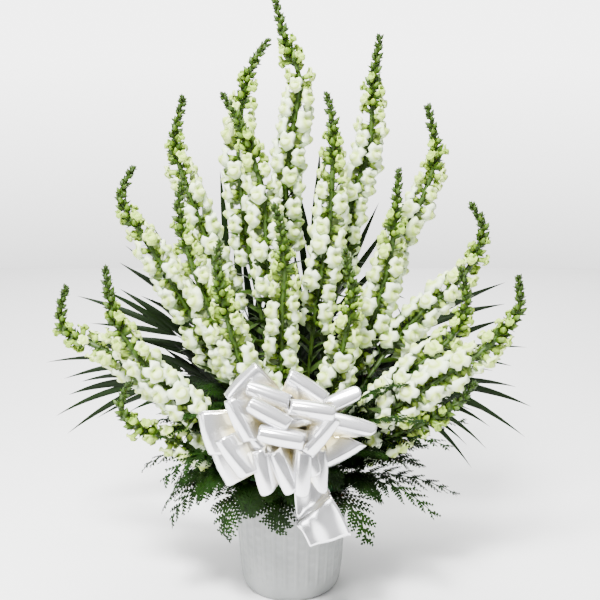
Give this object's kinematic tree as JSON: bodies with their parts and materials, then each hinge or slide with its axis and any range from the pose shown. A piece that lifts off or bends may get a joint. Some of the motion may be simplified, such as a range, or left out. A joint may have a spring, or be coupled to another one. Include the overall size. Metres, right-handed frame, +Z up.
{
  "type": "snapdragon arrangement in a pot",
  "caption": "White snapdragon spikes fanned out with palm and fern foliage in a white woven-look pot of floral foam, with a large satin ribbon bow at the front.",
  "frame": {"origin": "middle of the pot's flat base, on the surface it stands on", "axes": "+Z up; the arrangement faces -Y, and +X is to the right of someone who looks at its front"},
  "size_m": [0.902, 0.442, 0.9975],
  "materials": {
    "pot_white": "moulded white plastic with upright staves, satin-matte",
    "foam_green": "wet green floral foam, fully matte",
    "petal_white": "soft white petals on a fresh green stem with green buds",
    "palm_green": "dark green waxy leaf",
    "fern_green": "dark green leathery leaf",
    "satin_white": "white satin ribbon with a pearly sheen",
    "pick_wood": "raw wooden pick"
  },
  "bodies": {
    "root": {"bow_pick": "pick_wood", "fern_back": "fern_green", "fern_back_left": "fern_green", "fern_back_right": "fern_green", "fern_front": "fern_green", "fern_front_left": "fern_green", "fern_front_right": "fern_green", "fern_left": "fern_green", "fern_left_back": "fern_green", "fern_left_front": "fern_green", "fern_right": "fern_green", "fern_right_back": "fern_green", "fern_right_front": "fern_green", "foam": "foam_green", "palm_left_high": "palm_green", "palm_left_level": "palm_green", "palm_left_low": "palm_green", "palm_left_wide": "palm_green", "palm_right_high": "palm_green", "palm_right_level": "palm_green", "palm_right_low": "palm_green", "palm_right_wide": "palm_green", "palm_top": "palm_green", "palm_top_left": "palm_green", "palm_top_right": "palm_green", "pot": "pot_white", "ribbon_bow": "satin_white", "snapdragon_dark_tip": "petal_white", "snapdragon_far_left": "petal_white", "snapdragon_far_right": "petal_white", "snapdragon_hooked_tip": "petal_white", "snapdragon_left_inner": "petal_white", "snapdragon_left_outer": "petal_white", "snapdragon_left_short": "petal_white", "snapdragon_left_tall": "petal_white", "snapdragon_left_upper": "petal_white", "snapdragon_low_left": "petal_white", "snapdragon_low_right": "petal_white", "snapdragon_middle": "petal_white", "snapdragon_right_bent": "petal_white", "snapdragon_right_curved": "petal_white", "snapdragon_right_leaning": "petal_white", "snapdragon_right_middle": "petal_white", "snapdragon_right_short": "petal_white", "snapdragon_right_tall": "petal_white", "snapdragon_right_upper": "petal_white", "snapdragon_tallest": "petal_white"}
  },
  "joints": []
}
